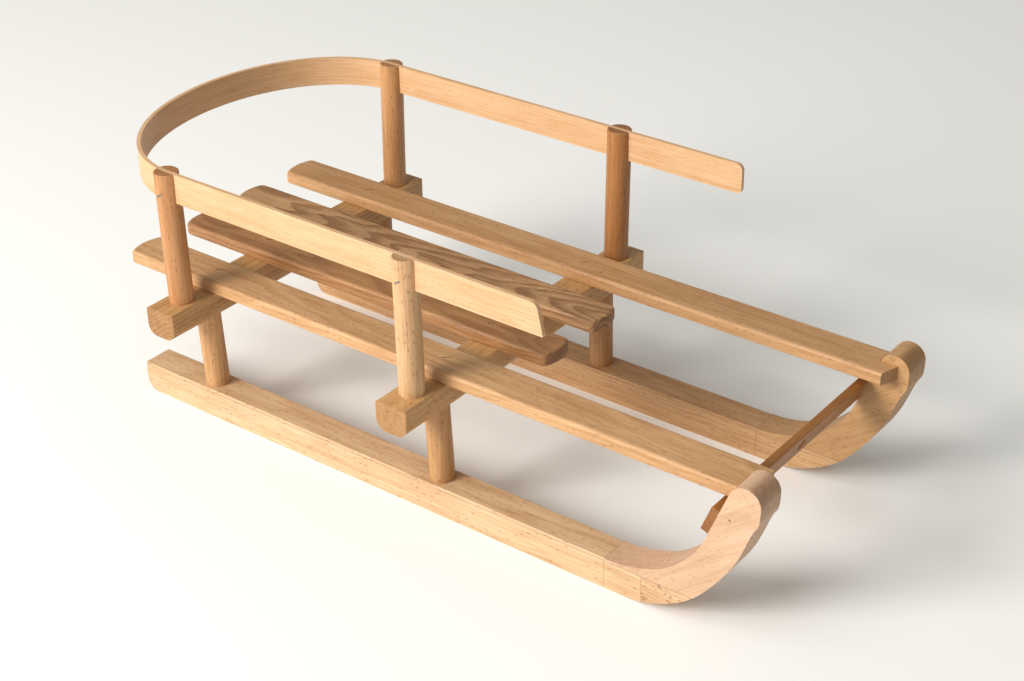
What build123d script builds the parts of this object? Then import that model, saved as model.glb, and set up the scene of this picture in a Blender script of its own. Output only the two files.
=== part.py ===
from build123d import *
import math
import os

# A small beech sledge: two runners with sawn horns, two crossbars on dowel legs,
# four seat slats, a pull bar, and a bent back rail carried by four posts.
# Sizes in millimetres. +X is forward, +Y is left, +Z is up, the ground is Z = 0.

# ---------------------------------------------------------------- main sizes
total_length = 568.0
crossbar_spacing = 216.0
crossbar_length = 285.0
dowel_diameter = 18.0

# runners, horns and toe blocks
runner_inside_post = 23.7
runner_width = 24.0
runner_height = 23.5
runner_rear_gap = 31.0
runner_heel_radius = 10.5
seat_step = 2.0
horn_rise = 76.0
horn_nose_radius = 11.0
horn_joint_back = 112.5
toe_joint_back = 83.5

# legs and crossbars
leg_length = 57.3
leg_sink_runner = 12.0
leg_sink_crossbar = 10.0
leg_set_forward = 2.4
leg_rake = 1.8
leg_splay = 1.4
crossbar_width = 26.0
crossbar_height = 21.7
crossbar_round = 8.5
crossbar_top_ease = 1.5
crossbar_end_corner = 6.0
crossbar_end_fall = 4.0

# posts and back rail
post_inset = 22.5
post_splay = 1.8
post_height = 103.3
post_sink = 14.0
rail_height = 22.4
rail_thickness = 3.0
rail_end_slant = 5.0
rail_end_round = 6.0
rail_bend_depth = 94.5
rail_overhang_right = 110.3
rail_overhang_left = 104.3
rear_bar_behind_bend = 3.0

# seat slats
slat_thickness = 9.5
slat_round = 2.5
slat_corner = 5.0
slat_under_ease = 1.0
outer_slat_width = 31.0
outer_slat_inside_runner = 11.3
inner_slat_width = 30.0
inner_slat_centre = 28.0
slat_rear_gap = 15.5
slat_end_rise = 4.0
inner_slat_overhang = 55.8
tongue_back = 8.5
tongue_bevel = 5.0

# pull bar
bar_height = 20.7
bar_thickness = 5.8
cord_hole_diameter = 9.0

# staples and nails
staple_crown = 5.8
staple_wire = 1.2
staple_strip = 0.6
staple_sink = 0.4
slat_staple_length = 24.5
rail_staple_length = 15.0
nail_diameter = 1.6
nail_sink = 0.6

# fits
dowel_clearance = 0.1
slot_clearance = 0.15
notch_gap = 0.4
bore_clearance = 0.04

# ------------------------------------------------------------ derived sizes
nose_x = total_length / 2
back_x = -total_length / 2
rail_bend_x = back_x + rail_bend_depth
rear_bar_x = rail_bend_x - rear_bar_behind_bend
front_bar_x = rear_bar_x + crossbar_spacing
bar_stations = {"rear": rear_bar_x, "front": front_bar_x}
rail_reach_right = front_bar_x + rail_overhang_right
rail_reach_left = front_bar_x + rail_overhang_left

post_centre = crossbar_length / 2 - post_inset
rail_centre = post_centre + post_splay
runner_centre = post_centre - runner_inside_post
outer_slat_centre = runner_centre - outer_slat_inside_runner

runner_inner = runner_centre - runner_width / 2
runner_outer = runner_centre + runner_width / 2
runner_rear_x = back_x + runner_rear_gap
horn_joint_x = nose_x - horn_joint_back
toe_joint_x = nose_x - toe_joint_back
seat_level = runner_height - seat_step

crossbar_bottom = runner_height + leg_length
slat_bottom = crossbar_bottom + crossbar_height
slat_top = slat_bottom + slat_thickness
post_top = slat_bottom + post_height
rail_bottom = post_top - rail_height
slat_rear_x = back_x + slat_rear_gap


def rise(fraction):
    return runner_height + fraction * horn_rise


# Side outline of a horn, as distance back from the nose and height.
foot_start = (nose_x - 106.5, 0)
horn_front_points = [
    foot_start,
    (nose_x - 79.0, 0.12 * runner_height),
    (nose_x - 62.0, 0.41 * runner_height),
    (nose_x - 46.2, 0.868 * runner_height),
    (nose_x - 28.7, rise(0.225)),
    (nose_x - 12.9, rise(0.576)),
    (nose_x - 3.1, rise(0.903)),
    (nose_x, rise(1.112)),
]
seat_line_top = (nose_x - 24.0, rise(1.09))
seat_line_foot = (nose_x - 35.8, rise(0.69))
horn_hollow_points = [
    seat_line_foot,
    (nose_x - 41.2, rise(0.523)),
    (nose_x - 53.4, rise(0.309)),
    (nose_x - 69.1, rise(0.142)),
    (nose_x - 84.5, rise(0.059)),
    (nose_x - 98.5, rise(0.012)),
    (horn_joint_x, runner_height),
]
seat_run = seat_line_top[0] - seat_line_foot[0]
seat_climb = seat_line_top[1] - seat_line_foot[1]
seat_slope = seat_run / seat_climb
seat_angle = math.degrees(math.atan2(seat_climb, seat_run))
seat_up = (math.cos(math.radians(seat_angle)), math.sin(math.radians(seat_angle)))


# ------------------------------------------------------------ shared shapes
def dowel(foot, tip, diameter, eased):
    """A round pin between two points, its far end eased."""
    axis = Vector(*tip) - Vector(*foot)
    with BuildPart() as pin:
        with BuildSketch(Plane(origin=foot, z_dir=axis)):
            Circle(diameter / 2)
        extrude(amount=axis.length)
        if eased > 0:
            chamfer(pin.edges().sort_by(Axis.Z)[-1], eased)
    return pin.part


def staple(strip, wire, crown, length, recess):
    """A staple standing on Z = 0 with its legs down; recess opens it upwards."""
    with BuildPart() as shape:
        with Locations((0, 0, -strip / 2)):
            Box(crown, wire, strip)
        with Locations((crown / 2 - strip / 2, 0, -length / 2), (strip / 2 - crown / 2, 0, -length / 2)):
            Box(strip, wire, length)
        if recess > 0:
            with Locations((0, 0, recess / 2)):
                Box(crown, wire, recess)
    return shape.part


def side_solid(outline, inner, outer):
    """Extrude a closed XZ outline between two distances on the right-hand side."""
    with BuildPart() as slab:
        with BuildSketch(Plane.XZ.offset(inner)):
            with BuildLine():
                outline()
            make_face()
        extrude(amount=outer - inner)
    return slab.part


def whole_runner_outline():
    """Beam, toe and horn as one silhouette, before the glue joints divide it."""
    front = Spline(*horn_front_points, tangents=[(1, 0), (0, 1)])
    nose_top = (nose_x - horn_nose_radius, rise(1.112) + horn_nose_radius)
    nose = TangentArc(front @ 1, nose_top, tangent=(0, 1))
    crown = Spline(nose @ 1, seat_line_top, tangents=[(-1, 0), (-seat_up[0], -seat_up[1])])
    seat = Line(crown @ 1, seat_line_foot)
    hollow = Spline(*horn_hollow_points, tangents=[(-seat_up[0], -seat_up[1]), (-1, 0)])
    top = Line(hollow @ 1, (runner_rear_x, runner_height))
    rear = Line(top @ 1, (runner_rear_x, runner_heel_radius))
    heel = RadiusArc(rear @ 1, (runner_rear_x + runner_heel_radius, 0), -runner_heel_radius)
    Line(heel @ 1, foot_start)


def rail_solid(extra, bottom, top):
    """The bent rail's outline, thickened by extra on each face."""
    outer = rail_centre + rail_thickness / 2 + extra
    inner = rail_centre - rail_thickness / 2 - extra
    outer_depth = rail_bend_depth + extra
    inner_depth = rail_bend_depth - rail_thickness - extra
    with BuildPart() as strip:
        with BuildSketch(Plane.XY.offset(bottom)):
            with BuildLine():
                Line((rail_reach_right, -outer), (rail_bend_x, -outer))
                EllipticalCenterArc((rail_bend_x, 0), outer_depth, outer, start_angle=90, arc_size=180)
                Line((rail_bend_x, outer), (rail_reach_left, outer))
                Line((rail_reach_left, outer), (rail_reach_left, inner))
                Line((rail_reach_left, inner), (rail_bend_x, inner))
                EllipticalCenterArc((rail_bend_x, 0), inner_depth, inner, start_angle=90, arc_size=180)
                Line((rail_bend_x, -inner), (rail_reach_right, -inner))
                Line((rail_reach_right, -inner), (rail_reach_right, -outer))
            make_face()
        extrude(amount=top - bottom)
    return strip.part


def leg_foot(station, side):
    sink = leg_sink_runner / leg_length
    x = bar_stations[station] + leg_set_forward + leg_rake * (1 + sink)
    y = side * (runner_centre - leg_splay * sink)
    return (x, y, runner_height - leg_sink_runner)


def leg_tip(station, side):
    sink = leg_sink_crossbar / leg_length
    x = bar_stations[station] + leg_set_forward - leg_rake * sink
    y = side * (runner_centre + leg_splay * (1 + sink))
    return (x, y, crossbar_bottom + leg_sink_crossbar)


def post_foot(station, side):
    y = side * (post_centre - post_splay * post_sink / post_height)
    return (bar_stations[station], y, slat_bottom - post_sink)


def post_tip(station, side):
    return (bar_stations[station], side * (post_centre + post_splay), post_top)


corners = [("front", "left", 1), ("front", "right", -1), ("rear", "left", 1), ("rear", "right", -1)]

# Bores for the legs and posts, a little larger than the dowels.
bore = dowel_diameter + dowel_clearance
leg_bores = [dowel(leg_foot(station, sign), leg_tip(station, sign), bore, 0)
             for station, side, sign in corners]
post_bores = [dowel(post_foot(station, sign), post_tip(station, sign), bore, 0)
              for station, side, sign in corners]

# ------------------------------------------------------- fastener positions
# Each slat is stapled once to each crossbar, the crowns set across the grain.
slat_staple_spots = [
    (rear_bar_x + 2.3, -outer_slat_centre + 2.1),
    (front_bar_x + 0.4, -outer_slat_centre + 1.6),
    (rear_bar_x + 0.1, -inner_slat_centre + 2.8),
    (front_bar_x - 3.1, -inner_slat_centre - 0.1),
    (rear_bar_x + 1.9, inner_slat_centre + 0.2),
    (front_bar_x - 2.0, inner_slat_centre + 2.5),
    (rear_bar_x + 3.9, outer_slat_centre - 0.3),
    (front_bar_x - 3.3, outer_slat_centre - 1.2),
]
slat_staple_places = [Location((x, y, slat_top - staple_sink), (0, 0, 40)) for x, y in slat_staple_spots]

# A staple from outside pins the rail in each post's slot.
rail_staple_level = rail_bottom + 0.28 * rail_height
rail_staple_places = []
for station, side, sign in corners:
    lean = post_splay * (rail_staple_level - slat_bottom) / post_height
    face = post_centre + lean + dowel_diameter / 2 - staple_sink
    place = Location((bar_stations[station], sign * face, rail_staple_level))
    rail_staple_places.append(place * Rotation(-90 * sign, 0, 0) * Rotation(0, 0, 35))

slat_staple_one = staple(staple_strip, staple_wire, staple_crown, slat_staple_length, 0)
rail_staple_one = staple(staple_strip, staple_wire, staple_crown, rail_staple_length, 0)
fat_strip = staple_strip + 2 * bore_clearance
fat_wire = staple_wire + 2 * bore_clearance
fat_crown = staple_crown + 2 * bore_clearance
slat_staple_cut = staple(fat_strip, fat_wire, fat_crown, slat_staple_length, 2.0)
rail_staple_cut = staple(fat_strip, fat_wire, fat_crown, rail_staple_length, 4.0)
slat_staple_cuts = [place * slat_staple_cut for place in slat_staple_places]
rail_staple_cuts = [place * rail_staple_cut for place in rail_staple_places]

# Nails: one down through each horn's hollow into the toe block, one from the
# front of each horn into the pull bar.
hollow_nail_x = nose_x - 70.0
hollow_nail_top = rise(0.142) - 1.0
front_nail_spots = [
    (nose_x - 6.4, -runner_centre - 8.0, rise(0.776)),
    (nose_x - 9.7, runner_centre - 10.0, rise(0.671)),
]


def nail_solid(head, direction, length, radius):
    """A plain nail from just under the surface at head, along direction."""
    with BuildPart() as pin:
        with BuildSketch(Plane(origin=head, z_dir=direction)):
            Circle(radius)
        extrude(amount=length)
    return pin.part


into_bar = (-seat_up[1], 0, seat_up[0])


def nail_set(radius, proud):
    """All four nails; proud lengthens each one outwards, to cut its bore."""
    pins = []
    for sign in (-1, 1):
        head = (hollow_nail_x, sign * runner_centre, hollow_nail_top - nail_sink + proud)
        pins.append(nail_solid(head, (0, 0, -1), 20.0 + proud, radius))
    for x, y, z in front_nail_spots:
        start = Vector(x, y, z) + Vector(*into_bar) * (nail_sink - proud)
        pins.append(nail_solid(tuple(start), into_bar, 27.0 + proud, radius))
    return pins


nails = nail_set(nail_diameter / 2, 0)
nail_cuts = nail_set(nail_diameter / 2 + bore_clearance, 4.0)

# ------------------------------------------------------------------ runners
runner_blank = side_solid(whole_runner_outline, runner_inner, runner_outer)
deep = 1200


def runner_beam_shape():
    """The straight beam, with the shallow seat for the horn at its front."""
    with BuildPart() as beam:
        add(runner_blank)
        with Locations((toe_joint_x + deep / 2, -runner_centre, 0)):
            Box(deep, deep, deep, mode=Mode.SUBTRACT)
        with Locations((horn_joint_x + deep / 2, -runner_centre, seat_level + deep / 2)):
            Box(deep, deep, deep, mode=Mode.SUBTRACT)
        long_edges = beam.edges().filter_by(Axis.X).group_by(Axis.Z)[-1]
        fillet(long_edges, 1.0)
    return beam.part


def toe_block_shape():
    """The piece under the horn, carrying the sole's upturn."""
    with BuildPart() as toe:
        add(runner_blank)
        with Locations((toe_joint_x - deep / 2, -runner_centre, 0)):
            Box(deep, deep, deep, mode=Mode.SUBTRACT)
        with Locations((0, -runner_centre, seat_level + deep / 2)):
            Box(2 * deep, deep, deep, mode=Mode.SUBTRACT)
    return toe.part


def horn_shape():
    """The curved horn block, glued on the beam's seat and the toe block."""
    with BuildPart() as horn:
        add(runner_blank)
        with Locations((horn_joint_x - deep / 2, -runner_centre, 0)):
            Box(deep, deep, deep, mode=Mode.SUBTRACT)
        with Locations((0, -runner_centre, seat_level - deep / 2)):
            Box(2 * deep, deep, deep, mode=Mode.SUBTRACT)
    return horn.part


beam_blank = runner_beam_shape()
toe_blank = toe_block_shape()
horn_blank = horn_shape()

with BuildPart() as runner_beam_right:
    add(beam_blank)
    add(leg_bores, mode=Mode.SUBTRACT)

with BuildPart() as runner_beam_left:
    mirror(beam_blank, about=Plane.XZ)
    add(leg_bores, mode=Mode.SUBTRACT)

with BuildPart() as toe_block_right:
    add(toe_blank)
    add(nail_cuts, mode=Mode.SUBTRACT)

with BuildPart() as toe_block_left:
    mirror(toe_blank, about=Plane.XZ)
    add(nail_cuts, mode=Mode.SUBTRACT)

with BuildPart() as horn_right:
    add(horn_blank)
    add(nail_cuts, mode=Mode.SUBTRACT)

with BuildPart() as horn_left:
    mirror(horn_blank, about=Plane.XZ)
    add(nail_cuts, mode=Mode.SUBTRACT)


# ---------------------------------------------------------------- crossbars
def crossbar_plan():
    """Seen from above: square at the right-hand end, rounded corners at the left."""
    plan = Rectangle(crossbar_width, crossbar_length)
    fillet(plan.vertices().group_by(Axis.Y)[-1], crossbar_end_corner)


def crossbar_side():
    """Seen from the front: the top eases down a little at the left-hand end."""
    side = Rectangle(crossbar_length, crossbar_height)
    left_top = side.vertices().group_by(Axis.X)[-1].sort_by(Axis.Y)[-1]
    right_top = side.vertices().group_by(Axis.X)[0].sort_by(Axis.Y)[-1]
    fillet(left_top, crossbar_end_fall)
    fillet(right_top, crossbar_top_ease)


def crossbar_shape(station):
    """A bar with a flat top, rounded underside, and bores for legs and posts."""
    x = bar_stations[station]
    middle = crossbar_bottom + crossbar_height / 2
    with BuildPart() as bar:
        with Locations((x, 0, middle)):
            Box(crossbar_width, crossbar_length, crossbar_height)
        fillet(bar.edges().filter_by(Axis.Y).group_by(Axis.Z)[0], crossbar_round)
        fillet(bar.edges().filter_by(Axis.Y).group_by(Axis.Z)[-1], crossbar_top_ease)
        with BuildSketch(Plane((x, 0, crossbar_bottom))):
            crossbar_plan()
        extrude(amount=crossbar_height, mode=Mode.INTERSECT)
        with BuildSketch(Plane((x, 0, middle), x_dir=(0, 1, 0), z_dir=(1, 0, 0))):
            crossbar_side()
        extrude(amount=crossbar_width, both=True, mode=Mode.INTERSECT)
        add(leg_bores, mode=Mode.SUBTRACT)
        add(post_bores, mode=Mode.SUBTRACT)
        add(slat_staple_cuts, mode=Mode.SUBTRACT)
    return bar.part


crossbar_rear_shape = crossbar_shape("rear")
crossbar_front_shape = crossbar_shape("front")

with BuildPart() as crossbar_rear:
    add(crossbar_rear_shape)

with BuildPart() as crossbar_front:
    add(crossbar_front_shape)


# ---------------------------------------------------------- legs and posts
def leg_shape(station, sign):
    return dowel(leg_foot(station, sign), leg_tip(station, sign), dowel_diameter, 0)


def post_shape(station, sign):
    """A post with its slot for the rail, open at the top."""
    blank = dowel(post_foot(station, sign), post_tip(station, sign), dowel_diameter, 0.6)
    slot = rail_solid(slot_clearance, rail_bottom, post_top + 5)
    with BuildPart() as post:
        add(blank)
        add(slot, mode=Mode.SUBTRACT)
        add(rail_staple_cuts, mode=Mode.SUBTRACT)
    return post.part


leg_parts = {f"leg_{station}_{side}": leg_shape(station, sign) for station, side, sign in corners}
post_parts = {f"post_{station}_{side}": post_shape(station, sign) for station, side, sign in corners}

# ---------------------------------------------------------------- back rail
rail_blank = rail_solid(0, rail_bottom, post_top)

with BuildPart() as backrest_rail:
    add(rail_blank)
    with BuildSketch(Plane.XZ):
        with BuildLine():
            Polyline((rail_reach_right, rail_bottom), (rail_reach_right - rail_end_slant, post_top),
                     (rail_reach_right + 1, post_top), (rail_reach_right + 1, rail_bottom), close=True)
        make_face()
    extrude(amount=crossbar_length, mode=Mode.SUBTRACT)
    right_end = backrest_rail.edges().filter_by(Axis.Y).filter_by_position(Axis.Y, -crossbar_length, 0)
    fillet(right_end.sort_by(Axis.Z)[-1], rail_end_round)
    left_end = backrest_rail.faces().filter_by(Axis.X).sort_by(Axis.Y)[-1].edges().filter_by(Axis.Y)
    fillet(left_end.sort_by(Axis.Z)[-1], 5.0)
    left_foot = backrest_rail.edges().filter_by(Axis.Y).filter_by_position(Axis.Y, 0, crossbar_length)
    fillet(left_foot.sort_by(Axis.Z)[0], 3.5)
    add(rail_staple_cuts, mode=Mode.SUBTRACT)


# -------------------------------------------------------------- seat slats
def slat_shape(centre, width, front_x, front_rise):
    """A slat on the right-hand side, its ends sawn to a shallow arc."""
    low = -(centre + width / 2)
    high = -(centre - width / 2)
    with BuildPart() as slat:
        with BuildSketch(Plane.XY.offset(slat_bottom)):
            with BuildLine():
                rear_low = (slat_rear_x + slat_end_rise, low)
                rear_high = (slat_rear_x + slat_end_rise, high)
                rear = ThreePointArc(rear_low, (slat_rear_x, -centre), rear_high)
                if front_rise > 0:
                    front_low = (front_x - front_rise, low)
                    front_high = (front_x - front_rise, high)
                    ThreePointArc(front_low, (front_x, -centre), front_high)
                else:
                    front_low = (front_x, low)
                    front_high = (front_x, high)
                    Line(front_low, front_high)
                Line(rear @ 0, front_low)
                Line(rear @ 1, front_high)
            make_face()
        extrude(amount=slat_thickness)
        corners_rear = slat.edges().filter_by(Axis.Z).group_by(Axis.X)[0]
        fillet(corners_rear, slat_corner)
        if front_rise > 0:
            fillet(slat.edges().filter_by(Axis.Z).group_by(Axis.X)[-1], slat_corner)
        fillet(slat.edges().filter_by(Axis.X).group_by(Axis.Z)[-1], slat_round)
        fillet(slat.edges().filter_by(Axis.X).group_by(Axis.Z)[0], slat_under_ease)
    return slat.part


def seat_line_x(level):
    return seat_line_foot[0] + (level - seat_line_foot[1]) * seat_slope


def notch_outline():
    """Clears the horn: it follows the horn's rear face with a small gap."""
    low = slat_bottom - 4
    high = slat_top + 4
    far = nose_x + 10
    Polyline((seat_line_x(low) - notch_gap, low), (seat_line_x(high) - notch_gap, high),
             (far, high), (far, low), close=True)


outer_slat_blank = slat_shape(outer_slat_centre, outer_slat_width, nose_x - tongue_back, 0)
inner_slat_blank = slat_shape(inner_slat_centre, inner_slat_width, front_bar_x + inner_slat_overhang,
                              slat_end_rise)
notch = side_solid(notch_outline, runner_inner - slot_clearance, runner_outer + 5)
slat_inner_side = outer_slat_centre - outer_slat_width / 2

with BuildPart() as outer_slat_right:
    add(outer_slat_blank)
    add(notch, mode=Mode.SUBTRACT)
    tongue_end = nose_x - tongue_back
    with BuildSketch(Plane.XY.offset(slat_bottom - 5)):
        with BuildLine():
            Polyline((tongue_end, -runner_inner), (tongue_end - tongue_bevel, -slat_inner_side),
                     (tongue_end - tongue_bevel, -slat_inner_side + 5), (tongue_end + 5, -slat_inner_side + 5),
                     (tongue_end + 5, -runner_inner), close=True)
        make_face()
    extrude(amount=slat_thickness + 10, mode=Mode.SUBTRACT)
    outer_slat_plain = outer_slat_right.part
    add(slat_staple_cuts, mode=Mode.SUBTRACT)

with BuildPart() as outer_slat_left:
    mirror(outer_slat_plain, about=Plane.XZ)
    add(slat_staple_cuts, mode=Mode.SUBTRACT)

with BuildPart() as inner_slat_right:
    add(inner_slat_blank)
    add(slat_staple_cuts, mode=Mode.SUBTRACT)

with BuildPart() as inner_slat_left:
    mirror(inner_slat_blank, about=Plane.XZ)
    add(slat_staple_cuts, mode=Mode.SUBTRACT)


# ----------------------------------------------------------------- pull bar
def pull_bar_outline():
    """A flat bar lying against the rear face of both horns."""
    foot = Vector(seat_line_foot[0], seat_line_foot[1])
    up = Vector(*seat_up) * bar_height
    back = Vector(-seat_up[1], seat_up[0]) * bar_thickness
    Polyline(foot, foot + up, foot + up + back, foot + back, close=True)


pull_bar_blank = side_solid(pull_bar_outline, -runner_outer, runner_outer)
bar_middle = Vector(seat_line_foot[0], 0, seat_line_foot[1]) + Vector(seat_up[0], 0, seat_up[1]) * (bar_height / 2)

with BuildPart() as pull_bar:
    add(pull_bar_blank)
    fillet(pull_bar.edges().filter_by(Axis.Y), 0.8)
    with BuildSketch(Plane(origin=bar_middle, z_dir=into_bar)):
        Circle(cord_hole_diameter / 2)
    extrude(amount=bar_thickness, both=True, mode=Mode.SUBTRACT)
    add(nail_cuts, mode=Mode.SUBTRACT)

# ---------------------------------------------------------------- fasteners
with BuildPart() as slat_staples:
    add([place * slat_staple_one for place in slat_staple_places])

with BuildPart() as rail_staples:
    add([place * rail_staple_one for place in rail_staple_places])

with BuildPart() as horn_nails:
    add(nails)

# ------------------------------------------------------------------- export
os.makedirs("parts", exist_ok=True)

runner_beam_right.part.label = "runner_beam_right"
export_step(runner_beam_right.part, "parts/runner_beam_right.step")
runner_beam_left.part.label = "runner_beam_left"
export_step(runner_beam_left.part, "parts/runner_beam_left.step")
toe_block_right.part.label = "toe_block_right"
export_step(toe_block_right.part, "parts/toe_block_right.step")
toe_block_left.part.label = "toe_block_left"
export_step(toe_block_left.part, "parts/toe_block_left.step")
horn_right.part.label = "horn_right"
export_step(horn_right.part, "parts/horn_right.step")
horn_left.part.label = "horn_left"
export_step(horn_left.part, "parts/horn_left.step")
crossbar_rear.part.label = "crossbar_rear"
export_step(crossbar_rear.part, "parts/crossbar_rear.step")
crossbar_front.part.label = "crossbar_front"
export_step(crossbar_front.part, "parts/crossbar_front.step")
backrest_rail.part.label = "backrest_rail"
export_step(backrest_rail.part, "parts/backrest_rail.step")
outer_slat_right.part.label = "outer_slat_right"
export_step(outer_slat_right.part, "parts/outer_slat_right.step")
outer_slat_left.part.label = "outer_slat_left"
export_step(outer_slat_left.part, "parts/outer_slat_left.step")
inner_slat_right.part.label = "inner_slat_right"
export_step(inner_slat_right.part, "parts/inner_slat_right.step")
inner_slat_left.part.label = "inner_slat_left"
export_step(inner_slat_left.part, "parts/inner_slat_left.step")
pull_bar.part.label = "pull_bar"
export_step(pull_bar.part, "parts/pull_bar.step")
slat_staples.part.label = "slat_staples"
export_step(slat_staples.part, "parts/slat_staples.step")
rail_staples.part.label = "rail_staples"
export_step(rail_staples.part, "parts/rail_staples.step")
horn_nails.part.label = "horn_nails"
export_step(horn_nails.part, "parts/horn_nails.step")

for name, shape in (leg_parts | post_parts).items():
    shape.label = name
    export_step(shape, f"parts/{name}.step")
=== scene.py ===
import bpy
import math
from mathutils import Vector, Matrix


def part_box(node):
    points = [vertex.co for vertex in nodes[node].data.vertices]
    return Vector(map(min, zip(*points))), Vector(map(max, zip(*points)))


# Looks for a small beech sledge: matt beech, one darker bar, steel staples.

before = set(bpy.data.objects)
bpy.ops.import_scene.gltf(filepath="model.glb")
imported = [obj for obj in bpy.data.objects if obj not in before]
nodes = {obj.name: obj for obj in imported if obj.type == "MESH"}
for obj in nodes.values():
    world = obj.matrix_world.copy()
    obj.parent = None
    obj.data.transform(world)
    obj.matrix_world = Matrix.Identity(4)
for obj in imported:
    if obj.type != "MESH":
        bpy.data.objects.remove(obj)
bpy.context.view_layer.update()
scene = bpy.context.scene
print("frame loaded,", len(nodes), "pieces")


cameraSet = {
    "place": (0.7378, -0.9475, 0.7760),  # metres, in the sledge's own frame
    "azimuth": 37.297,                   # degrees from straight behind the right side
    "elevation": 30.188,
    "roll": -0.645,
    "lens": 67.75,
    "farLimit": 50,
}


def makeCamera(values):
    a, e, r = (math.radians(values[k]) for k in ("azimuth", "elevation", "roll"))
    back = Vector((math.sin(a) * math.cos(e), -math.cos(a) * math.cos(e), math.sin(e)))
    right = Vector((math.cos(a), math.sin(a), 0))
    up = back.cross(right)
    rolledRight = right * math.cos(r) + up * math.sin(r)
    rolledUp = up * math.cos(r) - right * math.sin(r)
    data = bpy.data.cameras.new("studioCamera")
    data.sensor_width = 36
    data.lens = values["lens"]
    data.clip_end = values["farLimit"]
    camera = bpy.data.objects.new("studioCamera", data)
    scene.collection.objects.link(camera)
    turn = Matrix((rolledRight, rolledUp, back)).transposed()
    camera.matrix_world = Matrix.Translation(values["place"]) @ turn.to_4x4()
    scene.camera = camera


makeCamera(cameraSet)
print("camera placed")


def put(tree, kind, **settings):
    node = tree.nodes.new(kind)
    for name, value in settings.items():
        setattr(node, name, value)
    return node


def feed(tree, socket, value):
    # value is another socket, or a plain number, colour or vector
    if isinstance(value, bpy.types.NodeSocket):
        tree.links.new(value, socket)
    else:
        socket.default_value = value


def sums(tree, operation, *values, clamp=False):
    node = put(tree, "ShaderNodeMath", operation=operation, use_clamp=clamp)
    for socket, value in zip(node.inputs, values):
        feed(tree, socket, value)
    return node.outputs[0]


def vectors(tree, operation, *values):
    node = put(tree, "ShaderNodeVectorMath", operation=operation)
    for socket, value in zip(node.inputs, values):
        feed(tree, socket, value)
    return node.outputs[1 if operation in ("LENGTH", "DOT_PRODUCT", "DISTANCE") else 0]


def joined(tree, x, y, z):
    node = put(tree, "ShaderNodeCombineXYZ")
    for socket, value in zip(node.inputs, (x, y, z)):
        feed(tree, socket, value)
    return node.outputs[0]


def apart(tree, vector):
    node = put(tree, "ShaderNodeSeparateXYZ")
    feed(tree, node.inputs[0], vector)
    return node.outputs


def ramped(tree, value, fromLow, fromHigh, toLow=0.0, toHigh=1.0):
    node = put(tree, "ShaderNodeMapRange", interpolation_type="SMOOTHSTEP")
    for socket, item in zip(node.inputs, (value, fromLow, fromHigh, toLow, toHigh)):
        feed(tree, socket, item)
    return node.outputs[0]


def noise(tree, vector, detail, roughness=0.5):
    node = put(tree, "ShaderNodeTexNoise")
    feed(tree, node.inputs["Vector"], vector)
    node.inputs["Scale"].default_value = 1
    node.inputs["Detail"].default_value = detail
    node.inputs["Roughness"].default_value = roughness
    return node


def blended(tree, how, share, under, over):
    node = put(tree, "ShaderNodeMix", data_type="RGBA", blend_type=how)
    feed(tree, node.inputs[0], share)
    feed(tree, node.inputs[6], under)
    feed(tree, node.inputs[7], over)
    return node.outputs[2]


def newGroup(name, inputs, outputs):
    tree = bpy.data.node_groups.new(name, "ShaderNodeTree")
    for label, kind, value in inputs:
        socket = tree.interface.new_socket(label, in_out="INPUT", socket_type="NodeSocket" + kind)
        if value is not None:
            socket.default_value = value
    for label, kind in outputs:
        tree.interface.new_socket(label, in_out="OUTPUT", socket_type="NodeSocket" + kind)
    into = put(tree, "NodeGroupInput").outputs
    out = put(tree, "NodeGroupOutput").inputs
    return tree, into, out


def useGroup(tree, group, values):
    node = put(tree, "ShaderNodeGroup", node_tree=group)
    for name, value in values.items():
        feed(tree, node.inputs[name], value)
    return node.outputs


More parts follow.
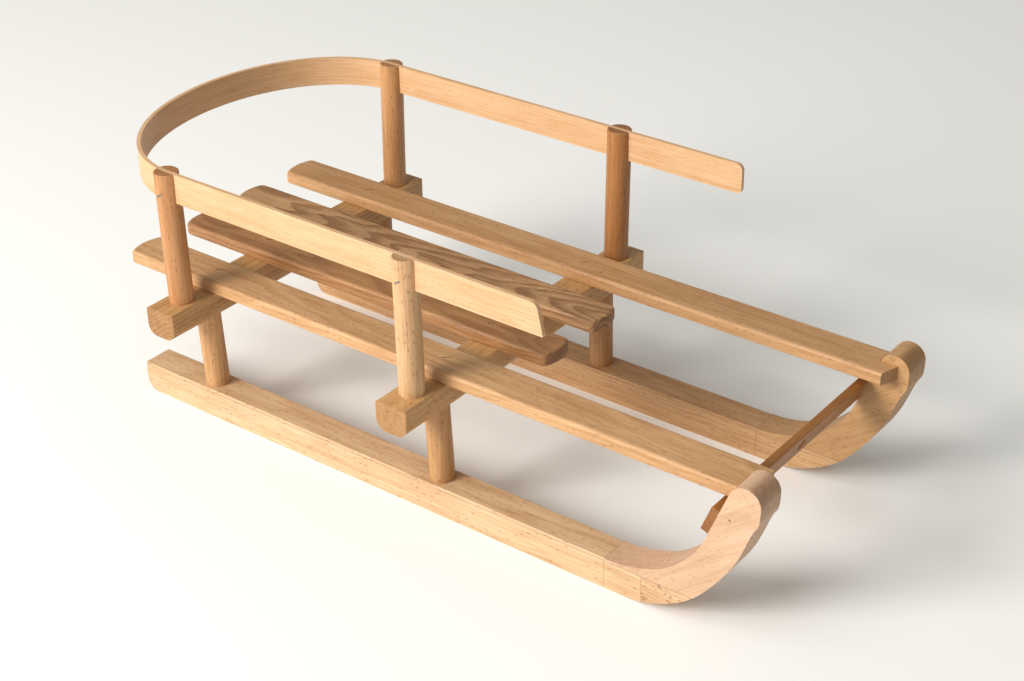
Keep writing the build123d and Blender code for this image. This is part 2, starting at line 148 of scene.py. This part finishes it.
def makeGrainGroup():
    # Solid beech in millimetres: growth rings round the X axis, ray flecks,
    # fibres along X and slow clouds of colour. The same field gives plain
    # figure on a side, arches on a flat face and rings on an end.
    tree, into, out = newGroup(
        "beechGrain",
        [("Position", "Vector", None), ("Seed", "Float", 0.0), ("Ring width", "Float", 3.0),
         ("Wander", "Float", 2.0), ("Fleck length", "Float", 6.0), ("Fleck spread", "Float", 1.3),
         ("Fleck depth", "Float", 2.2), ("Fleck share", "Float", 0.6)],
        [("Rings", "Float"), ("Rays", "Float"), ("Fibres", "Float"), ("Streaks", "Float"),
         ("Clouds", "Float"), ("Relief", "Float")])
    x, y, z = apart(tree, into["Position"])
    x = sums(tree, "MULTIPLY_ADD", into["Seed"], 37.0, x)
    slow = noise(tree, joined(tree, sums(tree, "DIVIDE", x, 120.0), sums(tree, "DIVIDE", y, 30.0),
                              sums(tree, "DIVIDE", z, 30.0)), 2)
    _, shiftY, shiftZ = apart(tree, vectors(tree, "SUBTRACT", slow.outputs["Color"], (0.5, 0.5, 0.5)))
    y = sums(tree, "MULTIPLY_ADD", shiftY, sums(tree, "MULTIPLY", into["Wander"], 4.0), y)
    z = sums(tree, "MULTIPLY_ADD", shiftZ, sums(tree, "MULTIPLY", into["Wander"], 4.0), z)
    radius = vectors(tree, "LENGTH", joined(tree, 0.0, y, z))
    uneven = noise(tree, joined(tree, sums(tree, "DIVIDE", radius, 9.0), into["Seed"], 0.0), 1)
    evenRings = sums(tree, "DIVIDE", radius, into["Ring width"])
    phase = sums(tree, "MULTIPLY_ADD", uneven.outputs["Fac"], 1.6, evenRings)
    saw = sums(tree, "FRACT", phase)
    rings = sums(tree, "MULTIPLY", ramped(tree, saw, 0.2, 0.9), ramped(tree, saw, 0.93, 1.0, 1.0, 0.0))
    around = sums(tree, "MULTIPLY", sums(tree, "ARCTAN2", z, y), 55.0)
    cells = put(tree, "ShaderNodeTexVoronoi")
    cells.inputs["Scale"].default_value = 1
    feed(tree, cells.inputs["Vector"], joined(
        tree, sums(tree, "DIVIDE", x, into["Fleck length"]),
        sums(tree, "DIVIDE", around, into["Fleck spread"]),
        sums(tree, "DIVIDE", radius, into["Fleck depth"])))
    chance = apart(tree, cells.outputs["Color"])[0]
    kept = ramped(tree, sums(tree, "SUBTRACT", into["Fleck share"], chance), -0.12, 0.12)
    rays = sums(tree, "MULTIPLY", ramped(tree, cells.outputs["Distance"], 0.34, 0.12), kept)
    fibre = noise(tree, joined(tree, sums(tree, "DIVIDE", x, 24.0), sums(tree, "DIVIDE", y, 0.8),
                               sums(tree, "DIVIDE", z, 0.8)), 3, 0.6).outputs["Fac"]
    streak = noise(tree, joined(tree, sums(tree, "DIVIDE", x, 90.0), sums(tree, "DIVIDE", y, 4.0),
                                sums(tree, "DIVIDE", z, 4.0)), 2).outputs["Fac"]
    cloud = noise(tree, joined(tree, sums(tree, "DIVIDE", x, 70.0), sums(tree, "DIVIDE", y, 20.0),
                               sums(tree, "DIVIDE", z, 20.0)), 2).outputs["Fac"]
    feed(tree, out["Rings"], rings)
    feed(tree, out["Rays"], rays)
    feed(tree, out["Fibres"], ramped(tree, fibre, 0.3, 0.7))
    feed(tree, out["Streaks"], ramped(tree, streak, 0.3, 0.7))
    feed(tree, out["Clouds"], ramped(tree, cloud, 0.3, 0.7))
    feed(tree, out["Relief"], sums(tree, "SUBTRACT", fibre, sums(tree, "MULTIPLY", rays, 0.5)))
    return tree


def makeColourGroup():
    # Turns the grain's masks into a colour.
    tree, into, out = newGroup(
        "beechColour",
        [("Pale", "Color", (0.8, 0.6, 0.4, 1)), ("Deep", "Color", (0.6, 0.36, 0.18, 1)),
         ("Ray colour", "Color", (0.3, 0.14, 0.06, 1)), ("Rings", "Float", 0.0), ("Rays", "Float", 0.0),
         ("Fibres", "Float", 0.5), ("Streaks", "Float", 0.5), ("Clouds", "Float", 0.5),
         ("Ring show", "Float", 0.4), ("Ray show", "Float", 0.4), ("Fibre show", "Float", 0.3),
         ("Streak show", "Float", 0.3), ("Cloud show", "Float", 0.3), ("End grain", "Float", 0.0)],
        [("Color", "Color")])
    centred = sums(tree, "MULTIPLY", sums(tree, "SUBTRACT", into["Clouds"], 0.5), into["Cloud show"])
    streaky = sums(tree, "MULTIPLY", sums(tree, "SUBTRACT", into["Streaks"], 0.5), into["Streak show"])
    fine = sums(tree, "MULTIPLY", sums(tree, "SUBTRACT", into["Fibres"], 0.5), into["Fibre show"])
    ringed = sums(tree, "MULTIPLY", into["Rings"], into["Ring show"])
    share = sums(tree, "ADD", sums(tree, "ADD", centred, streaky), sums(tree, "ADD", fine, ringed))
    share = sums(tree, "ADD", share, 0.3, clamp=True)
    colour = blended(tree, "MIX", share, into["Pale"], into["Deep"])
    ray = sums(tree, "MULTIPLY", into["Rays"], into["Ray show"])
    colour = blended(tree, "MIX", ray, colour, into["Ray colour"])
    ended = blended(tree, "MULTIPLY", 1.0, colour, (0.72, 0.66, 0.6, 1))
    feed(tree, out["Color"], blended(tree, "MIX", into["End grain"], colour, ended))
    return tree


def makeMarkGroup():
    # A soft-edged dark spot: one knot, nail hole or bruise.
    tree, into, out = newGroup(
        "darkMark",
        [("Position", "Vector", None), ("Centre", "Vector", None), ("Size", "Vector", None)],
        [("Mask", "Float")])
    away = vectors(tree, "DIVIDE", vectors(tree, "SUBTRACT", into["Position"], into["Centre"]), into["Size"])
    ragged = noise(tree, vectors(tree, "MULTIPLY", into["Position"], (1.1, 1.1, 1.1)), 2).outputs["Fac"]
    reach = sums(tree, "MULTIPLY_ADD", ragged, 0.7, vectors(tree, "LENGTH", away))
    feed(tree, out["Mask"], ramped(tree, reach, 1.45, 0.9))
    return tree


def makeLineGroup():
    # A thin line where a plane meets the surface, such as a glue joint.
    tree, into, out = newGroup(
        "glueLine",
        [("Position", "Vector", None), ("Point", "Vector", None), ("Across", "Vector", None),
         ("Half width", "Float", 0.3)],
        [("Mask", "Float")])
    away = vectors(tree, "SUBTRACT", into["Position"], into["Point"])
    off = vectors(tree, "DOT_PRODUCT", away, into["Across"])
    share = sums(tree, "DIVIDE", sums(tree, "ABSOLUTE", off), into["Half width"])
    feed(tree, out["Mask"], ramped(tree, share, 1.0, 0.3))
    return tree


# the bent rail in mm: straight sides, then half an ellipse behind its start
railBend = {"start": -189.5, "depth": 92.5, "halfWidth": 121.8}


def makeBendGroup():
    # Unrolls the bent strip: X runs along the strip from its middle at the
    # back, Y goes through its thickness and Z is its height.
    tree, into, out = newGroup(
        "unrolledStrip",
        [("Position", "Vector", None), ("Bend start", "Float", railBend["start"]),
         ("Depth", "Float", railBend["depth"]), ("Half width", "Float", railBend["halfWidth"])],
        [("Position", "Vector")])
    x, y, z = apart(tree, into["Position"])
    behind = sums(tree, "MAXIMUM", sums(tree, "SUBTRACT", into["Bend start"], x), 0.0)
    ahead = sums(tree, "MAXIMUM", sums(tree, "SUBTRACT", x, into["Bend start"]), 0.0)
    wide = sums(tree, "ABSOLUTE", y)
    stretched = sums(tree, "MULTIPLY", behind, sums(tree, "DIVIDE", into["Half width"], into["Depth"]))
    angle = sums(tree, "ARCTAN2", wide, stretched)
    quarter = sums(tree, "MULTIPLY", sums(tree, "ADD", into["Half width"], into["Depth"]), 0.5)
    length = sums(tree, "MULTIPLY_ADD", angle, quarter, ahead)
    reach = vectors(tree, "LENGTH", joined(tree, stretched, wide, 0.0))
    depth = sums(tree, "SUBTRACT", reach, into["Half width"])
    feed(tree, out["Position"], joined(tree, sums(tree, "MULTIPLY", length, sums(tree, "SIGN", y)), depth, z))
    return tree


grainGroup = makeGrainGroup()
colourGroup = makeColourGroup()
markGroup = makeMarkGroup()
lineGroup = makeLineGroup()
bendGroup = makeBendGroup()
print("shared effects built")

stains = {"mark": (0.06, 0.03, 0.015), "glue": (0.14, 0.07, 0.03), "glueStrength": 0.5}

# Everything a piece doesn't name itself comes from here. Lengths are in mm.
plainBeech = {
    "pale": (0.60, 0.375, 0.190), "deep": (0.40, 0.200, 0.075), "rayColour": (0.16, 0.06, 0.018),
    "ringWidth": 3.0, "wander": 2.0,
    "fleckLength": 6.0, "fleckSpread": 1.3, "fleckDepth": 2.2, "fleckShare": 0.5,
    "ringShow": 0.25, "rayShow": 0.5, "fibreShow": 0.45, "streakShow": 0.35, "cloudShow": 0.3,
    "roughness": 0.5, "reliefStrength": 0.25, "reliefDepth": 0.0003,
    "along": (1, 0, 0), "heart": (0, 20, -60), "marks": [], "lines": [],
}

# heart is where the middle of the tree lay, seen from the piece's own middle
# the glue joints, in mm: across is the direction square to each joint
beamJoint = {"point": (171.5, 0, 23.5), "across": (1, 0, 0), "halfWidth": 0.35}
seatJoint = {"point": (0, 0, 21.5), "across": (0, 0, 1), "halfWidth": 0.35}
toeJoint = {"point": (200.5, 0, 0), "across": (1, 0, 0), "halfWidth": 0.3}

timber = {
    "runner_beam_right": {"seed": 1, "heart": (0, -14, -70), "lean": (0, 0.6), "pale": (0.68, 0.47, 0.28),
                          "deep": (0.45, 0.25, 0.115), "lines": [seatJoint, toeJoint, beamJoint]},
    "runner_beam_left": {"seed": 2, "heart": (0, 25, -70), "lean": (0, 0.6), "pale": (0.55, 0.33, 0.16),
                         "deep": (0.36, 0.17, 0.06), "lines": [seatJoint, toeJoint, beamJoint]},
    "toe_block_right": {"seed": 3, "heart": (0, -14, -60), "pale": (0.66, 0.45, 0.27), "rayShow": 0.8,
                        "fleckShare": 0.9, "lines": [seatJoint, toeJoint]},
    "toe_block_left": {"seed": 4, "heart": (0, 20, -60), "lines": [seatJoint, toeJoint]},
    "horn_right": {"seed": 5, "along": (0.8, 0, 0.6), "heart": (0, -70, 0), "pale": (0.66, 0.425, 0.28),
                   "deep": (0.46, 0.28, 0.15), "ringShow": 0.12, "rayShow": 0.3,
                   "lines": [seatJoint, beamJoint],
                   "marks": [((263, -108, 92), (1.1, 1.1, 1.1), 0.7)]},
    "horn_left": {"seed": 6, "along": (0.8, 0, 0.6), "heart": (0, 70, 0), "pale": (0.53, 0.31, 0.14),
                  "deep": (0.36, 0.18, 0.065), "ringShow": 0.15, "lines": [seatJoint, beamJoint]},
    "crossbar_rear": {"seed": 7, "along": (0, 1, 0), "heart": (40, 0, -60), "pale": (0.55, 0.32, 0.135),
                      "deep": (0.37, 0.18, 0.06), "ringShow": 0.45},
    "crossbar_front": {"seed": 8, "along": (0, 1, 0), "heart": (-80, 0, -20), "pale": (0.58, 0.34, 0.145),
                       "deep": (0.40, 0.20, 0.065), "fleckShare": 0.8},
    "leg_front_left": {"seed": 9, "pale": (0.48, 0.25, 0.10), "deep": (0.32, 0.14, 0.045)},
    "leg_front_right": {"seed": 10, "pale": (0.53, 0.29, 0.12), "deep": (0.36, 0.16, 0.05)},
    "leg_rear_left": {"seed": 11, "pale": (0.48, 0.25, 0.10), "deep": (0.32, 0.14, 0.045)},
    "leg_rear_right": {"seed": 12, "pale": (0.62, 0.36, 0.16), "deep": (0.42, 0.20, 0.07)},
    "post_front_left": {"seed": 13, "pale": (0.41, 0.18, 0.055), "deep": (0.29, 0.11, 0.03)},
    "post_front_right": {"seed": 14, "pale": (0.66, 0.42, 0.22), "deep": (0.46, 0.25, 0.11)},
    "post_rear_left": {"seed": 15, "pale": (0.56, 0.29, 0.12), "deep": (0.40, 0.19, 0.065)},
    "post_rear_right": {"seed": 16, "pale": (0.55, 0.27, 0.11), "deep": (0.39, 0.17, 0.055)},
    "backrest_rail": {"seed": 17, "bent": True, "heart": (0, 0, -80), "pale": (0.68, 0.435, 0.245),
                      "deep": (0.51, 0.27, 0.11), "ringShow": 0.2, "rayShow": 0.15, "streakShow": 0.25},
    "outer_slat_right": {"seed": 18, "heart": (0, 26, -60), "lean": (0, 2.2), "ringShow": 0.3, "wander": 3.0,
                         "pale": (0.60, 0.355, 0.17), "deep": (0.40, 0.20, 0.075)},
    "outer_slat_left": {"seed": 19, "heart": (0, 60, -30), "pale": (0.56, 0.325, 0.15),
                        "deep": (0.38, 0.18, 0.065)},
    "inner_slat_right": {"seed": 20, "heart": (0, 3, -36), "lean": (0, 2.5), "ringShow": 0.45, "wander": 4.0,
                         "pale": (0.40, 0.20, 0.074), "deep": (0.24, 0.10, 0.030)},
    "inner_slat_left": {"seed": 21, "heart": (0, -5, -26), "lean": (0, 5.0), "ringShow": 0.7, "wander": 5.0,
                        "ringWidth": 3.6, "pale": (0.52, 0.30, 0.14), "deep": (0.26, 0.12, 0.045)},
    "pull_bar": {"seed": 22, "along": (0, 1, 0), "heart": (30, 0, 30), "pale": (0.39, 0.165, 0.042),
                 "deep": (0.26, 0.095, 0.022)},
}
for name, own in timber.items():  # the dowels' grain stands upright
    if name.startswith(("leg_", "post_")):
        own.update({"along": (0, 0, 1), "heart": (50, 30, 0)})


def middleOf(name):
    low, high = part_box(name)
    return (low + high) / 2


def grainTurn(piece):
    # the turn that lays the grain's X axis along the piece, plus a small lean
    along = Vector(piece["along"]).normalized()
    turn = Vector((1, 0, 0)).rotation_difference(along)
    side, rise = piece.get("lean", (0, 0))
    leaning = Matrix.Rotation(math.radians(side), 3, "Z") @ Matrix.Rotation(math.radians(-rise), 3, "Y")
    return (turn.to_matrix() @ leaning).to_euler()


def beechMaterial(name, own):
    piece = {**plainBeech, **own}
    material = bpy.data.materials.new(name + "_beech")
    material.use_nodes = True
    tree = material.node_tree
    tree.nodes.clear()
    shader = put(tree, "ShaderNodeBsdfPrincipled")
    output = put(tree, "ShaderNodeOutputMaterial")
    tree.links.new(shader.outputs[0], output.inputs["Surface"])
    coordinates = put(tree, "ShaderNodeTexCoord")
    place = vectors(tree, "MULTIPLY", coordinates.outputs["Object"], (1000, 1000, 1000))
    middle = middleOf(name) * 1000
    local = place
    if piece.get("bent"):
        local = useGroup(tree, bendGroup, {"Position": place})["Position"]
        middle = Vector((0, 0, middle.z))
    mapping = put(tree, "ShaderNodeMapping", vector_type="TEXTURE")
    feed(tree, mapping.inputs["Vector"], local)
    mapping.inputs["Location"].default_value = middle + Vector(piece["heart"])
    mapping.inputs["Rotation"].default_value = grainTurn(piece)
    grain = useGroup(tree, grainGroup, {
        "Position": mapping.outputs[0], "Seed": float(piece["seed"]), "Ring width": piece["ringWidth"],
        "Wander": piece["wander"], "Fleck length": piece["fleckLength"], "Fleck spread": piece["fleckSpread"],
        "Fleck depth": piece["fleckDepth"], "Fleck share": piece["fleckShare"]})
    facing = vectors(tree, "DOT_PRODUCT", coordinates.outputs["Normal"], Vector(piece["along"]).normalized())
    endGrain = 0.0 if piece.get("bent") else ramped(tree, sums(tree, "ABSOLUTE", facing), 0.6, 0.95)
    colour = useGroup(tree, colourGroup, {
        "Pale": (*piece["pale"], 1), "Deep": (*piece["deep"], 1), "Ray colour": (*piece["rayColour"], 1),
        "Rings": grain["Rings"], "Rays": grain["Rays"], "Fibres": grain["Fibres"],
        "Streaks": grain["Streaks"],
        "Clouds": grain["Clouds"], "Ring show": piece["ringShow"], "Ray show": piece["rayShow"],
        "Fibre show": piece["fibreShow"], "Streak show": piece["streakShow"],
        "Cloud show": piece["cloudShow"],
        "End grain": endGrain})["Color"]
    for centre, size, darkness in piece["marks"]:
        mask = useGroup(tree, markGroup, {"Position": place, "Centre": centre, "Size": size})["Mask"]
        colour = blended(tree, "MIX", sums(tree, "MULTIPLY", mask, darkness), colour, (*stains["mark"], 1))
    for line in piece["lines"]:
        mask = useGroup(tree, lineGroup, {
            "Position": place, "Point": line["point"], "Across": line["across"],
            "Half width": line["halfWidth"]})["Mask"]
        share = sums(tree, "MULTIPLY", mask, stains["glueStrength"])
        colour = blended(tree, "MIX", share, colour, (*stains["glue"], 1))
    feed(tree, shader.inputs["Base Color"], colour)
    rough = sums(tree, "MULTIPLY_ADD", grain["Fibres"], 0.12, piece["roughness"] - 0.06)
    feed(tree, shader.inputs["Roughness"], rough)
    bump = put(tree, "ShaderNodeBump")
    bump.inputs["Strength"].default_value = piece["reliefStrength"]
    bump.inputs["Distance"].default_value = piece["reliefDepth"]  # metres
    feed(tree, bump.inputs["Height"], grain["Relief"])
    feed(tree, shader.inputs["Normal"], bump.outputs[0])
    return material


def dress(name, material):
    data = nodes[name].data
    if not data.materials:
        data.materials.append(material)
    for index in range(len(data.materials)):
        data.materials[index] = material


for name, own in timber.items():
    dress(name, beechMaterial(name, own))
print("beech on", len(timber), "pieces")

steelSet = {"colour": (0.33, 0.33, 0.31), "dull": (0.10, 0.095, 0.08), "roughness": 0.42}


def steelMaterial(values):
    material = bpy.data.materials.new("stapleSteel")
    material.use_nodes = True
    tree = material.node_tree
    shader = tree.nodes["Principled BSDF"]
    coordinates = put(tree, "ShaderNodeTexCoord")
    place = vectors(tree, "MULTIPLY", coordinates.outputs["Object"], (1000, 1000, 1000))
    tarnish = noise(tree, place, 3).outputs["Fac"]
    mask = ramped(tree, tarnish, 0.42, 0.62)
    feed(tree, shader.inputs["Base Color"],
         blended(tree, "MIX", mask, (*values["colour"], 1), (*values["dull"], 1)))
    feed(tree, shader.inputs["Roughness"], sums(tree, "MULTIPLY_ADD", mask, 0.25, values["roughness"]))
    shader.inputs["Metallic"].default_value = 1
    return material


steel = steelMaterial(steelSet)
for name in ("slat_staples", "rail_staples", "horn_nails"):
    dress(name, steel)
print("steel on the staples and nails")

studio = {
    "floorColour": (0.95, 0.95, 0.945), "floorPatch": (0.92, 0.925, 0.91), "floorReach": 6.0,
    "skyColour": (1.0, 0.99, 0.93), "skyPower": 0.36,
    "keyPlace": (-1.3, -2.9, 1.5), "keySize": 1.6, "keyPower": 132, "keyColour": (1.0, 0.965, 0.92),
    "fillPlace": (-0.4, -1.5, 2.7), "fillSize": 2.2, "fillPower": 30, "fillColour": (1.0, 0.985, 0.96),
}


def makeFloor():
    mesh = bpy.data.meshes.new("studioFloor")
    reach = studio["floorReach"]
    mesh.from_pydata([(-reach, -reach, 0), (reach, -reach, 0), (reach, reach, 0), (-reach, reach, 0)], [],
                     [(0, 1, 2, 3)])
    floor = bpy.data.objects.new("studioFloor", mesh)
    scene.collection.objects.link(floor)
    material = bpy.data.materials.new("studioPaper")
    material.use_nodes = True
    tree = material.node_tree
    shader = tree.nodes["Principled BSDF"]
    coordinates = put(tree, "ShaderNodeTexCoord")
    patch = noise(tree, coordinates.outputs["Object"], 2).outputs["Fac"]
    colour = blended(tree, "MIX", patch, (*studio["floorColour"], 1), (*studio["floorPatch"], 1))
    feed(tree, shader.inputs["Base Color"], colour)
    shader.inputs["Roughness"].default_value = 0.75
    shader.inputs["Specular IOR Level"].default_value = 0.2
    mesh.materials.append(material)


def areaLight(name, place, size, power, colour, target=(0, 0, 0.06)):
    data = bpy.data.lights.new(name, "AREA")
    data.shape = "DISK"
    data.size = size
    data.energy = power
    data.color = colour
    light = bpy.data.objects.new(name, data)
    scene.collection.objects.link(light)
    light.location = place
    light.rotation_euler = (Vector(target) - Vector(place)).to_track_quat("-Z", "Y").to_euler()


def makeSky():
    world = bpy.data.worlds.new("studioSky")
    world.use_nodes = True
    background = world.node_tree.nodes["Background"]
    background.inputs["Color"].default_value = (*studio["skyColour"], 1)
    background.inputs["Strength"].default_value = studio["skyPower"]
    scene.world = world


makeFloor()
makeSky()
areaLight("keyLight", studio["keyPlace"], studio["keySize"], studio["keyPower"], studio["keyColour"])
areaLight("fillLight", studio["fillPlace"], studio["fillSize"], studio["fillPower"], studio["fillColour"])
scene.view_settings.view_transform = "Standard"
print("floor and lights made")
